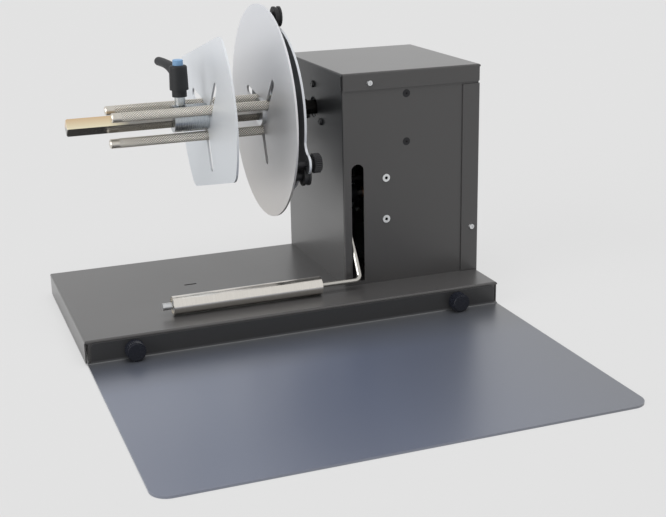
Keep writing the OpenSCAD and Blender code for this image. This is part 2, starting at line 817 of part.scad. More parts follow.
module bearing() difference() {
  bar_x(0, bearing_w, bearing_d);
  bar_x(-over, bearing_w + over, journal_d + run_fit);
  for (x = [-over, bearing_w - shield_in]) ring_x(x, x + shield_in + over,
    bearing_d - 2 * race_t, journal_d + 2 * race_t);
}

module spindle_bearings() color("lightgray") bench() at_spindle() {
  translate([shell_in_x + cup_lip, 0, 0]) bearing();
  translate([bracket_x + bracket_t + cup_lip, 0, 0]) bearing();
}

module motor_screw_places() for (a = [45:90:315]) rotate(a)
  translate([(gearbox_w / 2 - motor_screw_in) * sqrt(2), 0]) children();

module drive_screws() color("silver") bench() {
  for (a = cup_angles) translate([0, spindle_y, spindle_z]) {
    facing_left(around(shell_x0, cup_pcd / 2, a)) m4_screw();
    facing_left(around(bracket_x, cup_pcd / 2, a)) m4_screw();
  }
  for (a = [45:90:315]) translate([0, motor_y, motor_z])
    facing_left(around(bracket_x, (gearbox_w / 2 - motor_screw_in) * sqrt(2), a)) m4_screw();
}

module gear_motor() color("gray") bench() at_motor() difference() {
  union() {
    end_view(bracket_x + bracket_t, bracket_x + bracket_t + gearbox_l)
      translate([-gearbox_w / 2, -gearbox_w / 2]) round_plan(gearbox_w, gearbox_w, gearbox_r);
    bar_x(bracket_x + bracket_t - motor_boss_l + gap, bracket_x + bracket_t, motor_boss_d);
    bar_x(bracket_x + bracket_t + gearbox_l, bracket_x + bracket_t + gearbox_l + can_l, can_d);
    bar_x(bracket_x + bracket_t + gearbox_l + can_l, bracket_x + bracket_t + gearbox_l + can_l + motor_boss_l,
      motor_boss_d);
  }
  bar_x(bracket_x - over, bracket_x + bracket_t + motor_seat, motor_shaft_d + run_fit);
  end_view(bracket_x + bracket_t - over, bracket_x + screw_l + gap) motor_screw_places()
    circle(d = m4 + screw_fit);
}

module motor_shaft() color("lightgray") bench() at_motor()
  bar_x(belt_x0 - pulley_rim_t - over, bracket_x + bracket_t + motor_seat - gap, motor_shaft_d);

module toothed_pulley(r, n, hub, bore) difference() {
  union() {
    end_view(belt_x0, belt_x1) difference() {
      circle(r);
      for (i = [0:n - 1]) rotate(360 * i / n) translate([r, 0]) circle(d = belt_pitch * groove_share, $fn = 16);
    }
    for (x = [belt_x0 - pulley_rim_t, belt_x1]) bar_x(x, x + pulley_rim_t, 2 * (r + pulley_rim));
    bar_x(belt_x1 + pulley_rim_t, belt_x1 + pulley_rim_t + pulley_hub_l, hub);
  }
  bar_x(belt_x0 - pulley_rim_t - over, belt_x1 + pulley_rim_t + pulley_hub_l + over, bore);
}

module driven_pulley() color("dimgray") bench() at_spindle()
  toothed_pulley(driven_r, driven_teeth, driven_hub_d, journal_d + run_fit);

module motor_pulley() color("dimgray") bench() at_motor()
  toothed_pulley(motor_r, motor_teeth, motor_hub_d, motor_shaft_d + run_fit);

// Belt: an arc around each pulley, joined along their two outer tangents
belt_turn = atan2(-axle_dz, -axle_dy);
belt_lean = acos((driven_r - motor_r) / axle_gap);
belt_steps = 40;
function belt_arc(r, a0, a1) = [for (i = [0:belt_steps]) let (a = a0 + (a1 - a0) * i / belt_steps)
  r * [cos(a), sin(a)]];
module belt_outline(e) polygon(concat(
  belt_arc(driven_r + e, belt_turn + belt_lean, belt_turn + 360 - belt_lean),
  [for (p = belt_arc(motor_r + e, belt_turn - belt_lean, belt_turn + belt_lean)) p - [axle_dy, axle_dz]]));

module drive_belt() color("black") bench() at_spindle() end_view(belt_x0 + gap, belt_x1 - gap) difference() {
  belt_outline(gap + belt_t);
  belt_outline(gap);
}

// Control board, power inlet and switch

module board_standoffs() color("silver") bench()
  for (x = [standoff_in, board_l - standoff_in], y = [standoff_in, board_w - standoff_in])
    translate([board_x0 + x, board_y0 + y, base_h]) cylinder(h = standoff_h, d = standoff_d);

// Places of the board's parts as shares of the board's length and width
heatsink_shares = [0.22, 0.12, 0.56, 0.12];
transformer_shares = [0.2, 0.34, 0.5, 0.26];
terminal_shares = [0.3, 0.88, 0.55, 0.08];
capacitor_shares = [[0.28, 0.72], [0.5, 0.72], [0.72, 0.72]];
heatsink_h = 24;
transformer_h = 26;
terminal_h = 10;
capacitor_d = 10;
capacitor_h = 18;
fin_n = 6;
fin_share = 0.5;
fin_step = heatsink_shares[2] * board_l / fin_n;
module board_block(s, h) translate([s[0] * board_l, s[1] * board_w, board_t])
  cube([s[2] * board_l, s[3] * board_w, h]);

module control_board() color("darkgreen") bench() translate([board_x0, board_y0, board_z]) {
  cube([board_l, board_w, board_t]);
  board_block(transformer_shares, transformer_h);
  board_block(terminal_shares, terminal_h);
  difference() {
    board_block(heatsink_shares, heatsink_h);
    for (i = [1:fin_n - 1]) translate([heatsink_shares[0] * board_l + fin_step * (i - fin_share / 2),
      heatsink_shares[1] * board_w - over, board_t + heatsink_h / 3])
      cube([fin_step * fin_share, heatsink_shares[3] * board_w + 2 * over, heatsink_h]);
  }
  for (s = capacitor_shares) translate([s[0] * board_l, s[1] * board_w, board_t])
    cylinder(h = capacitor_h, d = capacitor_d);
}

module power_inlet() color("black") bench() translate([inlet_x, 0, entry_z]) {
  difference() {
    union() {
      front_view(house_y1, house_y1 + entry_proud) difference() {
        stadium(-(inlet_flange_w - inlet_flange_h) / 2, (inlet_flange_w - inlet_flange_h) / 2, inlet_flange_h);
        for (x = [-1, 1]) translate([x * inlet_screw / 2, 0]) circle(d = m3 + screw_fit);
      }
      front_view(house_y1 - inlet_depth, house_y1) square([inlet_w, inlet_h], center = true);
    }
    front_view(inlet_floor_y, house_y1 + entry_proud + over)
      square([inlet_w - 2 * inlet_wall, inlet_h - 2 * inlet_wall], center = true);
    for (x = [-1, 1]) facing_back([x * inlet_screw / 2, house_y1 + entry_proud - m3_head_h, 0])
      cylinder(h = m3_head_h + over, d = m3_head + gap);
  }
  for (x = [-1, 0, 1]) front_view(inlet_floor_y, inlet_floor_y + blade_l)
    translate([x * blade_step, 0]) square([blade_t, blade_w], center = true);
}

// Sizes of the switch's opening follow the rocker
function switch_hole() = [rocker_w + 2 * gap + 2 * switch_wall + 2 * gap,
  2 * (rocker_r + gap) + 2 * switch_wall + 2 * gap];
pin_y = house_y1 - pin_in;
module at_switch() translate([switch_x, pin_y, entry_z]) children();

module switch_frame() color("black") bench() at_switch() {
  difference() {
    union() {
      front_view(pin_in, pin_in + entry_proud - gap)
        square(switch_hole() + 2 * [switch_rim, switch_rim], center = true);
      front_view(pin_in - switch_depth, pin_in) square(switch_hole() - 2 * [gap, gap], center = true);
    }
    front_view(pin_in - switch_depth + switch_floor, pin_in + entry_proud + over)
      square([rocker_w + 2 * gap, 2 * (rocker_r + gap)], center = true);
  }
  bar_x(-rocker_w / 2 - gap, rocker_w / 2 + gap, rocker_pin_d);
}

// Side of the rocker: a disc about its pin, cut to two faces that meet in a shallow valley
module rocker_side() difference() {
  circle(rocker_r);
  for (s = [-1, 1]) rotate(-s * rocker_tilt) translate([rocker_face, s > 0 ? 0 : -2 * rocker_r])
    square([2 * rocker_r, 2 * rocker_r]);
  circle(d = rocker_pin_d + run_fit);
  translate([-2 * rocker_r - rocker_pin_d, -rocker_r]) square([2 * rocker_r, 2 * rocker_r]);
}

module switch_rocker() color("darkred") bench() at_switch() rotate([rocker_tilt, 0, 0])
  translate([-rocker_w / 2, 0, 0]) rotate([90, 0, 90]) linear_extrude(rocker_w) rocker_side();

// Tension arm, its bracket in the housing, and the roller

module pivot_ear() {
  translate([0, (u_z0 - u_z1) / 2]) square([pivot_y - shell_in_y, u_z1 - u_z0]);
  circle(r = stop_r + stop_d);
}

module arm_bracket() color("silver") bench() difference() {
  union() {
    translate([u_x0, shell_in_y, u_z0]) cube([u_w, ear_t, u_z1 - u_z0]);
    at_pivot() for (x = [u_x0, u_x1 - ear_t]) end_view(x, x + ear_t) pivot_ear();
  }
  at_pivot() for (x = [u_x0, u_x1 - ear_t]) bar_x(x - over, x + ear_t + over, bush_d + bearing_fit);
  for (z = rivet_zs) translate([rivet_x, 0, z])
    bar_y(shell_in_y - over, shell_in_y + ear_t + over, rivet_hole + screw_fit);
}

module bracket_rivets() color("silver") bench() for (z = rivet_zs) translate([rivet_x, 0, z]) difference() {
  union() {
    bar_y(shell_y0 - rivet_rim, shell_y0, rivet_d);
    bar_y(shell_y0, shell_in_y + ear_t, rivet_hole);
    bar_y(shell_in_y + ear_t, shell_in_y + ear_t + rivet_rim, rivet_d);
  }
  bar_y(shell_y0 - rivet_rim - over, shell_in_y + ear_t + rivet_rim + over, rivet_bore);
}

module pivot_bushes() color("goldenrod") bench() at_pivot() for (side = [0, 1])
  translate([side == 0 ? u_x0 : u_x1, 0, 0]) mirror([side, 0, 0]) difference() {
    union() {
      bar_x(0, ear_t + bush_rim_t, bush_d);
      bar_x(ear_t, ear_t + bush_rim_t, bush_rim_d);
    }
    bar_x(-over, ear_t + bush_rim_t + over, pivot_d + run_fit);
  }

// Two sleeved pins that the hub's finger meets at the ends of the swing
module arm_stops() color("black") bench() at_pivot()
  for (a = [finger_a - stop_step, finger_a + arm_swing + stop_step]) translate(around(0, stop_r, a))
    bar_x(finger_x - stop_d / 2, u_x0, stop_d);

module arm_sensor() color("darkslategray") bench() at_pivot() difference() {
  union() {
    bar_x(u_x1, u_x1 + sensor_l, sensor_d);
    end_view(u_x1 + sensor_l / 3, u_x1 + sensor_l * 2 / 3)
      translate([-sensor_d / 2 - sensor_l / 2, -sensor_l / 2]) square([sensor_d / 2, sensor_l]);
  }
  bar_x(u_x1 - over, pivot_x1 + gap, pivot_d + run_fit);
}

module at_arm() translate([arm_x, roller_y, roller_z]) rotate([-arm_lean, 0, 0]) children();

module tension_arm() color("silver") bench() at_arm() {
  translate([0, 0, rod_bend]) cylinder(h = leg_l - rod_bend + rod_past, d = rod_d);
  translate([-rod_bend, 0, rod_bend]) rotate([90, 0, 0]) rotate([0, 0, -90]) rotate_extrude(angle = 90)
    translate([rod_bend, 0]) circle(d = rod_d);
  bar_x(roller_x0 - gap - cap_l + cap_floor - arm_x, -rod_bend, rod_d);
}

module arm_hub() color("gray") bench() difference() {
  union() {
    at_pivot() bar_x(hub_x0, hub_x0 + arm_hub_l, arm_hub_d);
    at_pivot() translate([finger_x, 0, 0]) rotate([90 - finger_a, 0, 0]) cylinder(h = finger_l, d = stop_d);
  }
  at_arm() cylinder(h = leg_l + arm_hub_d, d = rod_d + bearing_fit);
  at_pivot() bar_x(pivot_x0, hub_x0 + arm_hub_l + over, pivot_d + bearing_fit);
}

module arm_pivot_shaft() color("lightgray") bench() at_pivot() bar_x(pivot_x0, pivot_x1, pivot_d);

module at_roller() translate([0, roller_y, roller_z]) children();

module roller_cap() color("gray") bench() at_roller() difference() {
  bar_x(roller_x0 - gap - cap_l, roller_x0 - gap, cap_d);
  bar_x(roller_x0 - gap - cap_l + cap_floor, roller_x0 - gap + over, rod_d + bearing_fit);
}

module roller_tube() color("silver") bench() at_roller()
  ring_x(roller_x0, roller_x1, roller_d, roller_d - 2 * roller_wall);

// Clips on the rod, in the recessed ends of the tube, that keep the roller in its place
module roller_clips() color("gray") bench() at_roller()
  for (x = [roller_x0 + bush_in - gap - roller_clip_t, roller_x1 - bush_in + gap])
    ring_x(x, x + roller_clip_t, roller_clip_d, rod_d + bearing_fit);

module roller_bushes() color("ivory") bench() at_roller()
  for (x = [roller_x0 + bush_in, roller_x1 - bush_in - bush_l])
  ring_x(x, x + bush_l, roller_d - 2 * roller_wall - bearing_fit, rod_d + run_fit);

// Spindle

module square_bar(x0, x1, w) end_view(x0, x1) rotate(45) square(w, center = true);

module spindle_shaft() color("lightgray") bench() at_spindle() {
  intersection() {
    square_bar(shaft_x0, journal_x0, shaft_w);
    union() {
      translate([shaft_x0, 0, 0]) rotate([0, 90, 0])
        cylinder(h = tip_chamfer, d1 = shaft_w * sqrt(2) - 2 * tip_chamfer, d2 = shaft_w * sqrt(2));
      bar_x(shaft_x0 + tip_chamfer, journal_x0 + over, shaft_w * 2);
    }
  }
  bar_x(journal_x0, shell_in_x + cup_lip, shoulder_d);
  bar_x(journal_x0, journal_x1, journal_d);
}

module shaft_clip() color("silver") bench() at_spindle()
  ring_x(clip_x, clip_x + clip_t, clip_d, journal_d + bearing_fit);

// Straight slots that the posts slide in, one every third of a turn
module straight_slots(w) for (i = post_dirs) rotate(slot_a + 120 * i) translate([0, -slot_off])
  stadium(slot_in_u, slot_u1 + (w - tail_d) / 2, w);

module inner_flange() color("lightsteelblue") bench() at_spindle() end_view(inner_x, inner_x + flange_t)
  difference() {
    circle(d = flange_d, $fn = 128);
    circle(d = spigot_d + bearing_fit);
    straight_slots(slot_inner_w);
  }

module flange_hub() color("silver") bench() at_spindle() difference() {
  union() {
    bar_x(inner_x - ring_nut_l, inner_x + flange_t, spigot_d);
    bar_x(inner_x + flange_t, inner_x + flange_t + hub_l, hub_d);
  }
  square_bar(inner_x - ring_nut_l - over, inner_x + flange_t + hub_l + over, shaft_w + key_fit);
}

module hub_nut() color("gray") bench() at_spindle()
  ring_x(inner_x - ring_nut_l, inner_x, ring_nut_d, spigot_d + bearing_fit);

// Grooved guides that hold the scroll plate by its rim, on studs from the flange's back
module rim_guides() color("black") bench() at_spindle() for (a = guide_angles)
  translate(around(0, guide_r, a)) difference() {
    union() {
      bar_x(guide_x0, guide_x1, guide_groove_d);
      bar_x(guide_x0, guide_x0 + guide_rim_t, guide_rim_d);
      bar_x(guide_x1 - guide_rim_t, guide_x1, guide_rim_d);
    }
    bar_x(guide_x0 - over, guide_x1 + over, stud_d + bearing_fit);
  }

module guide_studs() color("gray") bench() at_spindle() for (a = guide_angles)
  translate(around(0, guide_r, a)) {
  bar_x(inner_x + flange_t, guide_x0, stud_foot_d);
  bar_x(inner_x + flange_t, guide_x1 + stud_head_t, stud_d);
  bar_x(guide_x1, guide_x1 + stud_head_t, stud_head_d);
}

// Scroll plate

// A post's place along its straight slot, in an end view, and the same point turned back with the plate
function post_at(u) = [u * cos(slot_a) + slot_off * sin(slot_a), u * sin(slot_a) - slot_off * cos(slot_a)];
function turned(p, a) = [p[0] * cos(a) - p[1] * sin(a), p[0] * sin(a) + p[1] * cos(a)];
function scroll_at(u) = turned(post_at(u), -scroll_rate * (u - slot_u0));
// Direction of the scroll slot's centre line: its rate along u, from the turning and the sliding
function scroll_way(u) = let (k = scroll_rate * PI / 180, p = scroll_at(u),
  d = turned([cos(slot_a), sin(slot_a)], -scroll_rate * (u - slot_u0)),
  v = [d[0] + k * p[1], d[1] - k * p[0]]) v / norm(v);
function scroll_side(s) = [for (i = [0:scroll_steps])
  let (u = slot_u0 + (slot_u1 - slot_u0) * i / scroll_steps, w = scroll_way(u))
  scroll_at(u) + s * pin_slot_w / 2 * [-w[1], w[0]]];
function backwards(v) = [for (i = [len(v) - 1:-1:0]) v[i]];

// Round end of the slot at u, swept clockwise from the angle a0 to the slot's direction
function scroll_end(u, a0) = let (w = scroll_way(u), a = atan2(w[1], w[0]) + a0)
  [for (i = [1:end_steps - 1]) scroll_at(u) + pin_slot_w / 2 * turned([1, 0], a - 180 * i / end_steps)];
module scroll_slot() polygon(concat(scroll_side(1), scroll_end(slot_u1, 90),
  backwards(scroll_side(-1)), scroll_end(slot_u0, -90)));

// The lug swells out of the rim through a fillet on one side, and rests in a guide's groove on the other
lug_gap = scroll_r + lug_fillet;
lug_turn = acos((lug_at * lug_at + lug_gap * lug_gap - (lug_r + lug_fillet) * (lug_r + lug_fillet))
  / (2 * lug_at * lug_gap));
lug_low = 0.8;
module lug() difference() {
  rotate(lug_a) {
    translate([lug_at, 0]) circle(lug_r);
    difference() {
      polygon([[0, 0], [lug_at, -lug_r * lug_low], [lug_at, 0], lug_gap * [cos(lug_turn), sin(lug_turn)]]);
      translate(lug_gap * [cos(lug_turn), sin(lug_turn)]) circle(lug_fillet + gap);
    }
  }
  rotate(guide_angles[1]) translate([guide_r, 0]) circle(d = guide_groove_d + 2 * gap);
}

module scroll_plate() color("lightsteelblue") bench() at_spindle() end_view(scroll_x, scroll_x + scroll_t)
  difference() {
    union() {
      circle(scroll_r, $fn = 128);
      lug();
    }
    circle(d = hub_d + run_fit);
    for (i = post_dirs) rotate(120 * i) scroll_slot();
    rotate(lug_a) translate([lug_at, 0]) circle(d = knob_shank_d + run_fit);
  }

knob_x = scroll_x + scroll_t + gap;
module lock_knob() color("black") bench() at_spindle() translate(around(0, lug_at, lug_a)) {
  bar_x(inner_x + flange_t + gap, knob_x, knob_shank_d);
  bar_x(knob_x, knob_x + knob_neck_l, knob_neck_d);
  translate([knob_x + knob_neck_l, 0, 0]) rotate([0, 90, 0]) knurled_head(knob_d, knob_l);
}

// Core posts: knurled rods with a shoulder on the flange, a tail in the slot and a pin in the scroll
post_nose_d = post_d - 0.5;
tail_l = gap + flange_t + gap + post_nut_l;
nose_round = 1;
module core_post(i) color("rosybrown") bench() at_spindle() rotate([-120 * i, 0, 0])
  translate([0, -post_at(slot_u0)[0], post_at(slot_u0)[1]]) {
    translate([post_x0, 0, 0]) rotate([0, 90, 0]) {
      cylinder(h = nose_round, d1 = post_nose_d - 2 * nose_round, d2 = post_nose_d);
      translate([0, 0, nose_round]) cylinder(h = nose_l - nose_round, d = post_nose_d);
    }
    bar_x(post_x0 + nose_l, inner_x - gap, post_d);
    bar_x(inner_x - gap, inner_x - gap + tail_l, tail_d);
    bar_x(inner_x - gap + tail_l, scroll_x + scroll_t + 2 * gap, pin_d);
  }
module core_post_near() core_post(0);
module core_post_far() core_post(1);
module core_post_low() core_post(2);

module post_nut(i) color("gray") bench() at_spindle() rotate([-120 * i, 0, 0])
  translate([0, -post_at(slot_u0)[0], post_at(slot_u0)[1]]) difference() {
    translate([inner_x + flange_t + gap, 0, 0]) rotate([0, 90, 0])
      cylinder(h = post_nut_l, d = post_nut_d, $fn = 6);
    bar_x(inner_x + flange_t, inner_x + flange_t + gap + post_nut_l + over, tail_d + bearing_fit);
  }
module post_nut_near() post_nut(0);
module post_nut_far() post_nut(1);
module post_nut_low() post_nut(2);

// Outer flange, its collar and the clamp lever

corner_r = 18;
corner_step = 0.05;
corner_x = flats_w / 2 - corner_r;
corner_at = [corner_x, sqrt(pow(flange_d / 2 - corner_r, 2) - corner_x * corner_x)];
corner_end = corner_at * (flange_d / 2) / (flange_d / 2 - corner_r);

// What the rounded corners of the two flats leave out
module flat_corners() rotate(flats_a) for (i = [0, 1], j = [0, 1]) mirror([i, 0]) mirror([0, j]) difference() {
  polygon([corner_at, [flats_w / 2 + over, corner_at[1]], [flats_w / 2 + over, corner_end[1] + over],
    corner_end * (1 + over / flange_d)]);
  translate(corner_at) circle(r = corner_r - corner_step, $fn = 96);
}

module outer_flange() color("lightsteelblue") bench() at_spindle() end_view(outer_x, outer_x + flange_t)
  difference() {
    intersection() {
      circle(d = flange_d, $fn = 128);
      rotate(flats_a) square([flats_w, flange_d + over], center = true);
    }
    flat_corners();
    circle(d = spigot_d + bearing_fit);
    straight_slots(slot_outer_w);
  }

module clamp_collar() color("silver") bench() at_spindle() difference() {
  union() {
    bar_x(collar_x0, outer_x, collar_d);
    bar_x(outer_x, outer_x + flange_t + ring_nut_l, spigot_d);
  }
  square_bar(collar_x0 - over, outer_x + flange_t + ring_nut_l + over, shaft_w + key_fit);
  translate([lever_x, 0, 0]) cylinder(h = collar_d, d = lever_thread_d + run_fit);
}

module collar_nut() color("gray") bench() at_spindle()
  ring_x(outer_x + flange_t, outer_x + flange_t + ring_nut_l, ring_nut_d, spigot_d + bearing_fit);

module at_lever() at_spindle() translate([lever_x, 0, 0]) children();

stud_tip_z = shaft_w / sqrt(2) + gap;
stud_neck_d = 8;
module lever_stud() color("silver") bench() at_lever() {
  translate([0, 0, stud_tip_z]) cylinder(h = lever_foot_z - stud_tip_z, d = lever_thread_d);
  translate([0, 0, collar_d / 2 + gap]) cylinder(h = lever_foot_z - collar_d / 2 - gap, d = lever_spigot_d);
  translate([0, 0, lever_foot_z]) cylinder(h = lever_body_z - lever_foot_z, d = stud_neck_d);
}

// Top edge, lower edge, centre height, half height and half width of the lever's arm at a share t of its reach
function arm_top(t) = lever_top_z - arm_root_sink + (arm_crest_z - lever_top_z + arm_root_sink) * sin(90 * t);
function arm_low(t) = arm_under_z - (arm_under_z - arm_web_z) * pow(1 - t, arm_sweep);
function arm_z(t) = (arm_top(t) + arm_low(t)) / 2;
function arm_h(t) = (arm_top(t) - arm_low(t)) / 2;
function arm_w(t) = arm_root_w + (arm_tip_w - arm_root_w) * t;
// Rounded end: the section shrinks like a ball over the last ring steps
function arm_end(i) = i <= arm_rings - arm_tip_steps ? 1
  : sqrt(max(arm_tip_share, 1 - pow((i - arm_rings + arm_tip_steps) / arm_tip_steps, 2)));
function arm_out(i) = i <= arm_rings - arm_tip_steps ? lever_reach * i / (arm_rings - arm_tip_steps)
  : lever_reach + arm_tip_w * (i - arm_rings + arm_tip_steps) / arm_tip_steps;
function arm_t(i) = min(1, i / (arm_rings - arm_tip_steps));
function arm_ring(i) = [for (j = [0:arm_sides - 1]) let (a = 360 * j / arm_sides, t = arm_t(i), e = arm_end(i))
  [arm_out(i), e * arm_w(t) * cos(a), arm_z(t) + e * arm_h(t) * sin(a)]];
function tube_points() = [for (i = [0:arm_rings]) each arm_ring(i)];
function tube_faces(n, m) = [[for (j = [0:m - 1]) j], [for (j = [0:m - 1]) n * m + m - 1 - j],
  for (i = [0:n - 1], j = [0:m - 1]) each [
    [i * m + j, (i + 1) * m + (j + 1) % m, i * m + (j + 1) % m],
    [i * m + j, (i + 1) * m + j, (i + 1) * m + (j + 1) % m]]];

module lever_grip() polyhedron(tube_points(), tube_faces(arm_rings, arm_sides));

// Body of the lever: a neck, a slightly tapered barrel and a rounded top
module lever_barrel() rotate_extrude() difference() {
  union() {
    translate([0, lever_foot_z]) square([lever_neck_d / 2, lever_body_z - lever_foot_z]);
    polygon([[0, lever_body_z], [lever_d / 2, lever_body_z],
      [lever_d / 2 - lever_taper, lever_top_z - lever_round], [0, lever_top_z - lever_round]]);
    translate([0, lever_top_z - lever_round]) square([lever_d / 2 - lever_taper - lever_round, lever_round]);
    translate([lever_d / 2 - lever_taper - lever_round, lever_top_z - lever_round]) circle(lever_round);
  }
  translate([-lever_d, 0]) square([lever_d, lever_top_z + over]);
}

module clamp_lever() color("black") bench() at_lever() difference() {
  union() {
    lever_barrel();
    rotate(180 - lever_a) lever_grip();
  }
  translate([0, 0, lever_foot_z - over])
    cylinder(h = lever_body_z - lever_foot_z + over, d = stud_neck_d + bearing_fit);
  translate([0, 0, lever_top_z - button_seat_l]) cylinder(h = button_seat_l + lever_d, d = button_d + run_fit);
}

module lever_button() color("skyblue") bench() at_lever() {
  translate([0, 0, lever_top_z - button_seat_l + button_travel + gap])
    cylinder(h = button_seat_l - button_travel - gap + button_head_l - button_floor, d = button_d);
  translate([0, 0, lever_top_z + button_head_l - button_floor])
    cylinder(h = button_floor, d1 = button_d, d2 = button_d - 2 * button_floor);
}

base_pan();
base_feet();
base_nuts();
guide_plate();
thumb_screw_left();
thumb_screw_right();
housing_shell();
housing_lid();
rear_cover();
casing_screws();
foot_screws();
bracket_rivets();
bracket_screws();
bearing_bracket();
bearing_cups();
drive_screws();
spindle_bearings();
gear_motor();
control_board();
board_standoffs();
power_inlet();
switch_frame();
switch_rocker();
arm_bracket();
pivot_bushes();
arm_stops();
arm_sensor();
drive_belt();
spindle_shaft();
inner_flange();
flange_hub();
hub_nut();
rim_guides();
guide_studs();
driven_pulley();
shaft_clip();
scroll_plate();
lock_knob();
core_post_near();
core_post_far();
core_post_low();
post_nut_near();
post_nut_far();
post_nut_low();
outer_flange();
clamp_collar();
collar_nut();
lever_stud();
clamp_lever();
lever_button();
tension_arm();
arm_hub();
arm_pivot_shaft();
roller_cap();
roller_clips();
roller_tube();
roller_bushes();
motor_shaft();
motor_pulley();
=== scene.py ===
import math

import bpy
import numpy as np
from mathutils import Matrix, Vector


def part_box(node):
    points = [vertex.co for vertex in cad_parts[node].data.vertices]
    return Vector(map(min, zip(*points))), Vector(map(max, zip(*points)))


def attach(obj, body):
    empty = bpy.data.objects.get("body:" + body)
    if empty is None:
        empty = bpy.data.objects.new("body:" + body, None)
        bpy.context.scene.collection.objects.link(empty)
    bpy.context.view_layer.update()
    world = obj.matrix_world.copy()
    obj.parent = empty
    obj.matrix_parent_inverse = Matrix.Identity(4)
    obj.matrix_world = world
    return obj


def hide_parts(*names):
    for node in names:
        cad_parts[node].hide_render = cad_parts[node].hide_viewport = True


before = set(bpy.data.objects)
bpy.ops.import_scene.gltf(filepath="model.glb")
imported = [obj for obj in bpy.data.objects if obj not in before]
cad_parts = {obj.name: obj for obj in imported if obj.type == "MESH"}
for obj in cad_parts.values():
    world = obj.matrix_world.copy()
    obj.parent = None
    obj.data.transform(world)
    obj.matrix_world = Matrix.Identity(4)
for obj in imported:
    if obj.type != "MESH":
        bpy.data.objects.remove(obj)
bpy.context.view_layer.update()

# Camera: the place that the photograph was taken from. All lengths are in metres in the frame of
# the CAD, with the table at height 0, the operator on the -Y side and the spindle along X.

MM = 0.001

photo_width_px = 666
focal_px = 1199.8
sensor_mm = 36
farthest_seen = 50
camera_at = (-353.0 * MM, -1020.6 * MM, 421.6 * MM)
camera_azimuth = math.radians(-20.34)
camera_height = math.radians(17.53)
camera_roll = math.radians(-1.14)

back = Vector((math.sin(camera_azimuth) * math.cos(camera_height),
               -math.cos(camera_azimuth) * math.cos(camera_height), math.sin(camera_height)))
right = Vector((0, 0, 1)).cross(back).normalized()
up = back.cross(right)
turned_right = right * math.cos(camera_roll) + up * math.sin(camera_roll)
turned_up = up * math.cos(camera_roll) - right * math.sin(camera_roll)
camera_turn = Matrix((turned_right, turned_up, back)).transposed().to_4x4()
camera_data = bpy.data.cameras.new("camera")
camera_data.sensor_width = sensor_mm
camera_data.lens = focal_px / photo_width_px * sensor_mm
camera_data.clip_end = farthest_seen
camera = bpy.data.objects.new("camera", camera_data)
camera.matrix_world = Matrix.Translation(camera_at) @ camera_turn
bpy.context.scene.collection.objects.link(camera)
bpy.context.scene.camera = camera
bpy.context.scene.view_settings.view_transform = "Standard"


# Paint of the base, the guide plate and the housing: charcoal powder coat, baked on to folded
# steel sheet. It is satin, with a fine pebble that shows where light grazes it.

def srgb(red, green, blue):
    """Linear colour of a screen colour given as 0 to 255: the power curve of the display, undone."""
    share = [v / 255 for v in (red, green, blue)]
    return tuple(v / 12.92 if v <= 0.04045 else ((v + 0.055) / 1.055) ** 2.4 for v in share) + (1,)


class Wire:
    """One output of a shader node. Arithmetic on it adds Math nodes to its own material."""

    def __init__(self, finish, socket):
        self.finish = finish
        self.socket = socket

    def math(self, operation, *values):
        return self.finish.node("ShaderNodeMath", {"operation": operation}, dict(enumerate(values)))

    def __add__(self, other):
        return self.math("ADD", self, other)

    def __rsub__(self, other):
        return self.math("SUBTRACT", other, self)

    def __mul__(self, other):
        return self.math("MULTIPLY", self, other)

    __rmul__ = __mul__

    def scaled(self, first, second):
        """Value that goes from first to second as this one goes from 0 to 1: their difference times
        this one, plus the first."""
        return self * (second - first) + first


class Finish:
    """A material under work: node() adds a node, and surface() sets the sockets of its shader."""

    def __init__(self, name):
        self.material = bpy.data.materials.new(name)
        self.material.use_nodes = True
        self.tree = self.material.node_tree
        self.shader = self.tree.nodes["Principled BSDF"]

    def node(self, kind, settings, inputs, output=0):
        """Adds one node, with its settings, and with values or links at its sockets."""
        made = self.tree.nodes.new(kind)
        for key, value in settings.items():
            setattr(made, key, value)
        self.fill(made, inputs)
        return Wire(self, made.outputs[output])

    def fill(self, node, inputs):
        """Links a socket where its input is a Wire, and sets its value otherwise."""
        for key, value in inputs.items():
            if isinstance(value, Wire):
                self.tree.links.new(value.socket, node.inputs[key])
            else:
                node.inputs[key].default_value = value

    def place(self):
        """Object coordinates, in metres."""
        return self.node("ShaderNodeTexCoord", {}, {}, 3)

    def painted(self, name):
        """Value that the mesh keeps at its points under a name."""
        return self.node("ShaderNodeAttribute", {"attribute_name": name}, {}, 2)

    def between(self, low, high, axis=0):
        """Share that goes from 0 to 1 as X, or Y or Z with axis 1 or 2, goes from low to high."""
        along = self.node("ShaderNodeSeparateXYZ", {}, {"Vector": self.place()}, axis)
        return self.node("ShaderNodeMapRange", {}, {"Value": along, "From Min": low, "From Max": high})

    def noise(self, size, detail=3, stretch=(1, 1, 1)):
        """Soft grain with lumps about size metres wide, pulled out along an axis by a stretch below 1."""
        place = self.node("ShaderNodeMapping", {}, {"Vector": self.place(), "Scale": stretch})
        return self.node("ShaderNodeTexNoise", {}, {"Vector": place, "Scale": 1 / size, "Detail": detail})

    def blend(self, share, first, second):
        """Colour that goes from the first to the second as share goes from 0 to 1."""
        return self.node("ShaderNodeMix", {"data_type": "RGBA"}, {0: share, 6: first, 7: second}, 2)

    def bump(self, height, depth, strength=1):
        """Normal over a height that runs from 0 to 1 and stands for depth metres."""
        return self.node("ShaderNodeBump", {}, {"Height": height, "Distance": depth, "Strength": strength})

    def surface(self, **sockets):
        """Fills the shader's sockets, named with underscores for spaces, and gives the material."""
        self.fill(self.shader, {key.replace("_", " "): value for key, value in sockets.items()})
        return self.material

    def grained(self, grain, colours, roughness, **sockets):
        """Surface whose colour and roughness follow one grain, each from its first value to its second."""
        return self.surface(Base_Color=self.blend(grain, *colours), Roughness=grain.scaled(*roughness),
                            **sockets)


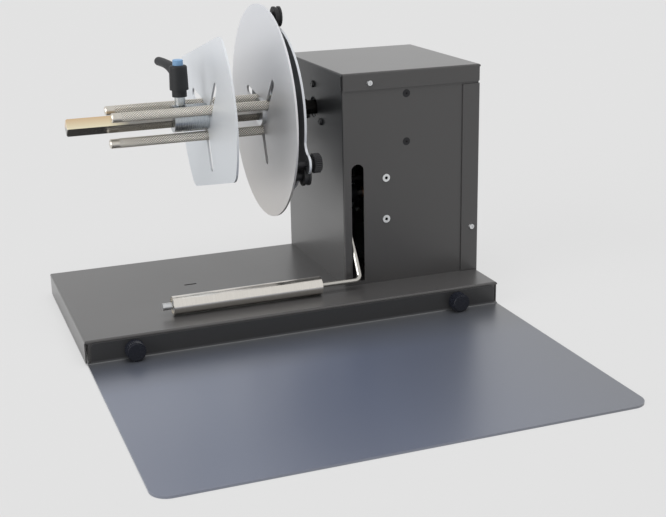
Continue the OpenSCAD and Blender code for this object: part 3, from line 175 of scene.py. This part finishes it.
def dress(material, *names):
    """Gives one material to CAD nodes."""
    for name in names:
        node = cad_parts[name]
        node.data.materials.clear()
        node.data.materials.append(material)


paint_dark = srgb(59, 58, 58)
paint_light = srgb(67, 66, 66)
pebble = 0.7 * MM
pebble_height = 0.03 * MM
pebble_strength = 0.5
pebble_share = 0.7
coat_roughness = 0.3
under_coat = 0.2

# High on the housing's left wall, behind the flanges, the paint is darker and duller: painted
# shadow of the flanges.
wall_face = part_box("housing_shell")[0].x
face_depth = 1 * MM
shadow_low = 90 * MM
shadow_high = 190 * MM
painted_shadow_colour = srgb(40, 41, 42)
shadow_coat = 0.4

paint = Finish("charcoal_powder_coat")
grain = paint.noise(pebble, 2)
cloud = paint.noise(60 * MM, 2)
on_wall = 1 - paint.between(wall_face, wall_face + face_depth)
# Share of the painted shadow of the flanges, high on the left wall.
flange_shadow_share = on_wall * paint.between(shadow_low, shadow_high, 2)
open_paint = paint.blend(grain * pebble_share + cloud * (1 - pebble_share), paint_dark, paint_light)
charcoal = paint.surface(Base_Color=paint.blend(flange_shadow_share, open_paint, painted_shadow_colour),
                         Roughness=cloud.scaled(0, 0.06) + grain.scaled(0.38, 0.46),
                         Specular_IOR_Level=under_coat, Coat_Weight=flange_shadow_share.scaled(1, shadow_coat),
                         Coat_Roughness=coat_roughness,
                         Normal=paint.bump(grain, pebble_height, pebble_strength))
dress(charcoal, "base_pan", "housing_shell", "housing_lid", "rear_cover")

# The guide plate's flat carries a painted bluish reflection. It fades to painted shade towards the
# fold, where the dark base front is mirrored, and weakens towards the right. The upturned edge above
# the fold is painted darker and duller, as shade for an upright face.
plate_coat_ior = 2.2
edge_coat = 0.2
plate_low, plate_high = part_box("guide_plate")
fold_low = plate_low.z + 2 * MM
fold_high = fold_low + 3 * MM
fold_shade = 80 * MM
right_reflection_share = 0.4
plate_paint = Finish("plate_powder_coat")
plate_grain = plate_paint.noise(pebble, 2)
upturned = plate_paint.between(fold_low, fold_high, 2)
near_fold = plate_paint.between(plate_high.y - fold_shade, plate_high.y, 1)
on_right = plate_paint.between(0, plate_high.x)
# Share of the painted bluish reflection on the flat.
painted_sky_reflection = (1 - near_fold) * on_right.scaled(1, right_reflection_share)
flat_colour = plate_paint.blend(painted_sky_reflection, srgb(60, 61, 63), srgb(82, 89, 107))
# Painted shade for the upright edge.
edge_colour = plate_paint.blend(plate_grain, srgb(42, 42, 43), srgb(50, 50, 51))
dress(plate_paint.surface(Base_Color=plate_paint.blend(upturned, flat_colour, edge_colour),
                          Roughness=plate_grain.scaled(0.42, 0.5), Specular_IOR_Level=under_coat,
                          Coat_Weight=upturned.scaled(1, edge_coat), Coat_IOR=plate_coat_ior,
                          Coat_Roughness=coat_roughness,
                          Normal=plate_paint.bump(plate_grain, pebble_height, pebble_strength)),
      "guide_plate")


# Feet of the base, moulded in black rubber and pressed into the turned-in lip, and the rubber
# sleeves on the arm's two stops.

def plain(name, colour, patch, roughness, **sockets):
    """Material of one colour whose roughness varies between two values, in patches about patch wide."""
    finish = Finish(name)
    return finish.surface(Base_Color=colour, Roughness=finish.noise(patch).scaled(*roughness), **sockets)


dress(plain("black_rubber", srgb(30, 30, 31), 2 * MM, (0.65, 0.8)), "base_feet", "arm_stops")


# Small steel parts: nuts, screws, clips, rivet nuts and the bearing's bracket, zinc plated. The
# plating is a thin bluish skin that clouds a little.

zinc = Finish("zinc_plated_steel")
plated = zinc.grained(zinc.noise(6 * MM), (srgb(206, 208, 210), srgb(232, 233, 233)), (0.25, 0.4),
                      Metallic=1.0)
dress(plated, "base_nuts", "foot_screws", "casing_screws", "bracket_rivets", "bearing_bracket", "hub_nut",
      "collar_nut", "post_nut_near", "post_nut_far", "post_nut_low", "roller_clips", "roller_cap")

# The screws that hold the left bearing cup were painted over with the wall that they stand on, and
# are bare behind it. Their heads take the wall's painted shadow colour and thinner coat.
wall_screws = Finish("wall_screws")
inside = wall_screws.between(wall_face, wall_face + face_depth)
dress(wall_screws.surface(Base_Color=wall_screws.blend(inside, painted_shadow_colour, srgb(190, 192, 194)),
                          Metallic=inside, Roughness=wall_screws.noise(2 * MM).scaled(0.38, 0.48),
                          Specular_IOR_Level=under_coat, Coat_Weight=inside.scaled(shadow_coat, 0),
                          Coat_Roughness=coat_roughness), "drive_screws")

# Screws, studs and brackets that were dipped in a blackening bath.
dress(plain("black_oxide_steel", srgb(42, 42, 44), 2 * MM, (0.3, 0.5), Metallic=0.6),
      "bracket_screws", "guide_studs", "shaft_clip", "arm_bracket", "arm_hub")


# Lock knob and rim guides: black moulded plastic with a fine spark-eroded skin. The power inlet,
# the switch frame and the sensor's case are of the same kind.

moulded = Finish("black_moulded_plastic")
skin = moulded.noise(0.5 * MM, 2)
black_plastic = moulded.grained(skin, (srgb(27, 27, 29), srgb(36, 36, 38)), (0.42, 0.57),
                                Normal=moulded.bump(skin, 0.02 * MM, 0.4))
dress(black_plastic, "lock_knob", "rim_guides", "power_inlet", "switch_frame", "arm_sensor")

# The thumb screws come from a polished mould, and mirror a little.
dress(plain("thumb_screw_plastic", srgb(25, 27, 35), 3 * MM, (0.24, 0.3), Specular_IOR_Level=0.4),
      "thumb_screw_left", "thumb_screw_right")


# Turned parts: hub, cups and pulleys of aluminium, and the clamp collar and the lever's stud of
# darker steel. The tool left fine rings around X.

def turned(name, colours, roughness):
    """Metal with rings around X: a grain that is fine along X and 50 times as wide across it."""
    finish = Finish(name)
    return finish.grained(finish.noise(0.35 * MM, 2, (1, 0.02, 0.02)), colours, roughness, Metallic=1.0)


dress(turned("turned_aluminium", (srgb(198, 203, 208), srgb(220, 224, 228)), (0.28, 0.43)),
      "flange_hub", "bearing_cups", "driven_pulley", "motor_pulley")
dress(turned("turned_steel", (srgb(168, 173, 176), srgb(186, 190, 193)), (0.2, 0.35)),
      "clamp_collar", "lever_stud")


# Bushes of the arm's pivot: sintered bronze, pressed into the arm's bracket. Their colour varies
# with the oil in the pores.

def mottled(name, patch, colours, roughness, detail=3, **sockets):
    """Material of one roughness whose colour varies between two, in patches about patch metres wide."""
    finish = Finish(name)
    colour = finish.blend(finish.noise(patch, detail), *colours)
    return finish.surface(Base_Color=colour, Roughness=roughness, **sockets)


dress(mottled("bronze_bushes", 1 * MM, (srgb(150, 104, 58), srgb(178, 128, 74)), 0.38, Metallic=1.0),
      "pivot_bushes")


# Drive: a geared motor with a painted can, which turns the spindle through a black toothed belt. A
# control board on brass stand-offs runs it, and a rocker switch of glossy red plastic turns it on.

dress(plain("motor_paint", srgb(58, 61, 66), 4 * MM, (0.4, 0.5), Metallic=0.2), "gear_motor")
dress(plain("belt_rubber", srgb(31, 31, 32), 1 * MM, (0.7, 0.8)), "drive_belt")
dress(mottled("board_laminate", 3 * MM, (srgb(24, 74, 45), srgb(34, 96, 58)), 0.35, detail=1),
      "control_board")
dress(mottled("brass_standoffs", 2 * MM, (srgb(170, 134, 62), srgb(196, 160, 84)), 0.3, Metallic=1.0),
      "board_standoffs")
dress(plain("switch_rocker_gloss", srgb(104, 18, 18), 5 * MM, (0.16, 0.21)), "switch_rocker")


# Bushes of the arm's roller: white nylon, turned from bar and pressed into the ends of its tube.
# They run dry on the rod.

dress(mottled("white_nylon", 4 * MM, (srgb(224, 221, 212), srgb(233, 230, 222)), 0.45), "roller_bushes")


# Bright steel: the arm's rod and pivot, the bearings and the motor's shaft. It was drawn along X, so
# the marks run that way.

along_x = (0.01, 1, 1)
bright = Finish("ground_steel")
ground = bright.grained(bright.noise(0.3 * MM, 2, along_x), (srgb(190, 187, 181), srgb(214, 211, 205)),
                        (0.14, 0.24), Metallic=1.0)
dress(ground, "tension_arm", "arm_pivot_shaft", "motor_shaft", "spindle_bearings")


# Spindle: a square steel bar that stands on its corner, zinc plated and chromated. The chromate
# makes its free end golden; the top carries a painted highlight, paler towards the front edge, and
# the faces below the axis are painted grey as shade. From where the collar reaches on the bar is
# grey, and behind the flanges it is painted dark and dull as shade.

bar_side = 12.3 * MM
half_diagonal = bar_side / math.sqrt(2)
edge_blur = 0.2 * MM
grey_fade = 20 * MM
shade_dulling = 0.2
chromate = Finish("chromated_spindle")
streaks = chromate.noise(0.3 * MM, 2, along_x)
collar_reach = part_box("core_post_near")[0].x
past_collar = chromate.between(collar_reach, collar_reach + grey_fade)
scroll_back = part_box("scroll_plate")[1].x
# Behind the flanges the bar is painted dark and dull as shade.
behind = chromate.between(scroll_back, scroll_back + 1 * MM)
axis = sum(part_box("spindle_shaft"), Vector()) / 2
# Painted highlight across the gold top, paler towards the front edge, and painted shade below the axis.
across = chromate.between(axis.y - half_diagonal, axis.y, 1)
on_top = chromate.between(axis.z - edge_blur, axis.z + edge_blur, 2)
gold = chromate.blend(across, srgb(255, 246, 214), srgb(232, 202, 164))
grey = chromate.blend(streaks, srgb(140, 138, 134), srgb(158, 156, 152))
free_end = chromate.blend(on_top * (1 - past_collar), grey, gold)
dress(chromate.surface(Base_Color=chromate.blend(behind, free_end, srgb(46, 45, 44)), Metallic=1.0,
                       Roughness=streaks.scaled(0.16, 0.26) + behind * shade_dulling), "spindle_shaft")


# Flanges and scroll plate: sheet aluminium, cut by laser, blasted and clear anodised to a soft
# bluish grey. The flanges are painted darker towards the bottom, as shade, and the inner one is
# also warmer there.

blast_size = 0.5 * MM
blast_roughness = (0.46, 0.54)
anodised_metallic = 0.75


def anodised(name, sheet, low_colour, high_colour):
    """Blasted metal whose colour goes from low_colour at a sheet's bottom to high_colour at its top:
    painted shade towards the bottom.
    """
    finish = Finish(name)
    low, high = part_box(sheet)
    height = finish.between(low.z, high.z, 2)
    blast = finish.noise(blast_size, 2)
    return finish.surface(Base_Color=finish.blend(height, low_colour, high_colour),
                          Metallic=anodised_metallic, Roughness=blast.scaled(*blast_roughness),
                          Normal=finish.bump(blast, 0.01 * MM, 0.4))


dress(anodised("anodised_sheet", "outer_flange", srgb(204, 208, 212), srgb(230, 233, 237)), "outer_flange")
dress(anodised("inner_flange_sheet", "inner_flange", srgb(208, 205, 202), srgb(226, 228, 232)), "inner_flange")

# The scroll plate's face towards the flange is painted dark, as painted shadow of the flange; its rim
# stays bright.
shaded_scroll = Finish("scroll_sheet_painted_shade")
shaded_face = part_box("scroll_plate")[0].x
lit_rim = shaded_scroll.between(shaded_face + 0.1 * MM, shaded_face + 0.3 * MM)
dress(shaded_scroll.surface(Base_Color=shaded_scroll.blend(lit_rim, srgb(112, 114, 117), srgb(226, 229, 233)),
                     Metallic=anodised_metallic,
                     Roughness=shaded_scroll.noise(blast_size, 2).scaled(*blast_roughness)), "scroll_plate")


# Core posts: steel rod with a diamond knurl rolled into it, so that a core can't slip, and a
# smooth turned nose. Behind its shoulder a post has a tail for the nut and a pin for the scroll.

post_radius = 5.0 * MM
nose_radius = 4.75 * MM
nose_length = 9.5 * MM
nose_round = 1.0 * MM
tail_radius = 4.0 * MM
pin_radius = 2.75 * MM
tail_length = 8.6 * MM
pin_length = 10.2 * MM
knurl_starts = 12
knurl_pitch = 2.6 * MM
knurl_depth = 0.5 * MM
knurl_samples = 12

# Between the two heights, as shares of the knurl's, the painted shade of a groove gives way to bright
# steel with a painted highlight. The smooth nose and tail take one tone on the same scale.
crest_low = 0.12
crest_high = 0.3
smooth_tone = 0.75


def tube_mesh(name, points):
    """Closed skin over points[station, side, xyz]: quads join neighbours, the sides wrap round, and a fan
    around the mean of the first and of the last station closes the ends."""
    stations, sides = points.shape[:2]
    index = np.arange(stations * sides).reshape(stations, sides)
    beside = np.roll(index, -1, axis=1)
    quads = np.stack([index[:-1], beside[:-1], beside[1:], index[1:]], -1).reshape(-1, 4)
    first, last = stations * sides, stations * sides + 1
    fans = [(first, b, a) for a, b in zip(index[0], beside[0])]
    fans += [(last, a, b) for a, b in zip(index[-1], beside[-1])]
    corners = np.concatenate([points.reshape(-1, 3), [points[0].mean(0), points[-1].mean(0)]])
    mesh = bpy.data.meshes.new(name)
    mesh.from_pydata(corners.tolist(), [], quads.tolist() + [tuple(map(int, fan)) for fan in fans])
    return mesh


def knurl_height(along, turn):
    """Share of the full height, 0 in a groove and 1 on a diamond: the lower of two ridges whose
    phases are the turn times the number of starts, plus and minus the way along over the pitch."""
    first = turn * knurl_starts + along / knurl_pitch
    second = turn * knurl_starts - along / knurl_pitch
    return np.minimum(2 * abs(first - np.round(first)), 2 * abs(second - np.round(second)))


def knurled_post(name):
    """Radius along the rod in steps: rounded nose, knurl, shoulder, tail and pin, each swept once round."""
    low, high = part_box(name)
    tail_end = high.x - pin_length
    knurl_end = tail_end - tail_length
    knurl_start = low.x + nose_length
    steps = round((knurl_end - knurl_start) / knurl_pitch) * knurl_samples
    along = np.linspace(0, knurl_end - knurl_start, steps + 1)
    turn = np.arange(knurl_starts * knurl_samples) / (knurl_starts * knurl_samples)
    height = knurl_height(along[:, None], turn[None, :])
    rolled = post_radius - knurl_depth * (1 - height)
    nose = [(low.x, nose_radius - nose_round), (low.x + nose_round, nose_radius),
            (knurl_start, nose_radius)]
    tail = [(knurl_end, tail_radius), (tail_end, tail_radius), (tail_end, pin_radius), (high.x, pin_radius)]
    x = np.concatenate([[v[0] for v in nose], knurl_start + along, [v[0] for v in tail]])
    radius = np.concatenate([np.repeat([[v[1]] for v in nose], len(turn), 1), rolled,
                             np.repeat([[v[1]] for v in tail], len(turn), 1)])
    angle = 2 * math.pi * turn
    middle = (low + high) / 2
    points = np.stack([np.repeat(x[:, None], len(turn), 1), middle.y + radius * np.cos(angle),
                       middle.z + radius * np.sin(angle)], -1)
    mesh = tube_mesh("knurled_" + name, points)
    crest = np.full(len(mesh.vertices), smooth_tone)
    first = len(nose) * len(turn)
    crest[first:first + height.size] = np.interp(height.ravel(), (crest_low, crest_high), (0, 1))
    mesh.attributes.new("crest", "FLOAT", "POINT").data.foreach_set("value", crest)
    return bpy.data.objects.new("knurled_" + name, mesh)


# Knurled steel: painted shade in the grooves and a painted highlight on the diamonds, by a value that the
# mesh keeps at its points.
knurled = Finish("knurled_steel")
tone = knurled.noise(1.5 * MM)
crest_colour = knurled.blend(tone, srgb(243, 236, 222), srgb(254, 250, 243))
post_colour = knurled.blend(knurled.painted("crest"), srgb(60, 56, 50), crest_colour)
knurl_steel = knurled.surface(Base_Color=post_colour, Metallic=1.0, Roughness=tone.scaled(0.3, 0.4))
for place in ("near", "far", "low"):
    post = knurled_post("core_post_" + place)
    bpy.context.scene.collection.objects.link(post)
    post.data.materials.append(knurl_steel)
    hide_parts("core_post_" + place)
    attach(post, "post_" + place)
    dress(ground, "core_post_" + place)


# Clamp lever: a black glass-filled nylon handle on a steel stud, with a light blue button that
# is pressed to turn the handle without turning the stud.

handle = Finish("lever_nylon")
pores = handle.noise(0.4 * MM, 2)
dress(handle.grained(pores, (srgb(26, 27, 29), srgb(35, 36, 38)), (0.45, 0.57), Specular_IOR_Level=0.3,
                     Normal=handle.bump(pores, 0.02 * MM, 0.5)), "clamp_lever")
dress(mottled("blue_button", 2 * MM, (srgb(102, 140, 176), srgb(116, 154, 190)), 0.35), "lever_button")


# Roller of the tension arm: a steel tube, turned and polished around X, that spins on its bushes
# under the label web.

tube = Finish("polished_tube")
dress(tube.grained(tube.noise(0.4 * MM, 2, (1, 0.03, 0.03)), (srgb(228, 223, 215), srgb(243, 239, 232)),
                   (0.14, 0.22), Metallic=1.0), "roller_tube")


# Studio: a pale table that runs out of sight, even light from all around, a broad lamp on the left
# and a stronger one above, which leaves no glare.

backdrop_colour = srgb(225, 225, 225)
table_colour = srgb(205, 205, 205)
floor_half = 8.0
floor_drop = 0.3 * MM

floor_mesh = bpy.data.meshes.new("studio_floor")
floor_mesh.from_pydata([(-floor_half, -floor_half, 0), (floor_half, -floor_half, 0),
                        (floor_half, floor_half, 0), (-floor_half, floor_half, 0)], [], [(0, 1, 2, 3)])
floor = bpy.data.objects.new("studio_floor", floor_mesh)
floor.location.z = -floor_drop
bpy.context.scene.collection.objects.link(floor)
table = Finish("studio_table")
table.surface(Base_Color=table_colour, Roughness=0.9)

# To the camera the table shows a share of the backdrop's even glow over its own lit colour, which
# keeps the machine's shadow. Under the base it lies in the dark, which the slits at the base's
# corners let through.
glow_shown = 0.8
seen_directly = table.node("ShaderNodeLightPath", {}, {})
table_glow = table.node("ShaderNodeEmission", {}, {"Color": backdrop_colour})
base_low, base_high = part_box("base_pan")
shade_edge = 2 * MM
under_base = (table.between(base_low.x, base_low.x + shade_edge)
              * table.between(base_high.x, base_high.x - shade_edge)
              * table.between(base_low.y, base_low.y + shade_edge, 1)
              * table.between(base_high.y, base_high.y - shade_edge, 1))
glow_share = seen_directly * (glow_shown * (1 - under_base))
table_mix = table.node("ShaderNodeMixShader", {}, {0: glow_share, 1: Wire(table, table.shader.outputs[0]),
                                                   2: table_glow})
table.fill(table.tree.nodes["Material Output"], {"Surface": table_mix})
floor_mesh.materials.append(table.material)


def sun(name, towards, strength, spread):
    """A lamp at infinity that shines towards a direction, softened over spread degrees."""
    data = bpy.data.lights.new(name, "SUN")
    data.energy = strength
    data.angle = math.radians(spread)
    lamp = bpy.data.objects.new(name, data)
    lamp.rotation_euler = Vector(towards).to_track_quat("-Z", "Y").to_euler()
    bpy.context.scene.collection.objects.link(lamp)
    return lamp


sun("key_left", towards=(0.85, 0.22, -0.3), strength=1.9, spread=50)
top_fill = sun("top_fill", towards=(-0.1, 0.2, -1.0), strength=2.9, spread=60)
top_fill.visible_glossy = False

# The world lights the object weakly, and shows the backdrop to the camera, to metal and to glass.
world = bpy.data.worlds.new("studio_light")
world.use_nodes = True
bpy.context.scene.world = world
sky = world.node_tree
ambient = 0.2
lamp_light = sky.nodes["Background"]
lamp_light.inputs["Color"].default_value = (1, 1, 1, 1)
lamp_light.inputs["Strength"].default_value = ambient
shown = sky.nodes.new("ShaderNodeBackground")
shown.inputs["Color"].default_value = backdrop_colour
rays = sky.nodes.new("ShaderNodeLightPath")
seen = sky.nodes.new("ShaderNodeMath")
seen.operation = "MAXIMUM"
seen_or_glass = sky.nodes.new("ShaderNodeMath")
seen_or_glass.operation = "MAXIMUM"
sky.links.new(rays.outputs["Is Camera Ray"], seen.inputs[0])
sky.links.new(rays.outputs["Is Glossy Ray"], seen.inputs[1])
sky.links.new(seen.outputs[0], seen_or_glass.inputs[0])
sky.links.new(rays.outputs["Is Transmission Ray"], seen_or_glass.inputs[1])
mixed = sky.nodes.new("ShaderNodeMixShader")
sky.links.new(seen_or_glass.outputs[0], mixed.inputs[0])
sky.links.new(lamp_light.outputs[0], mixed.inputs[1])
sky.links.new(shown.outputs[0], mixed.inputs[2])
sky.links.new(mixed.outputs[0], sky.nodes["World Output"].inputs["Surface"])
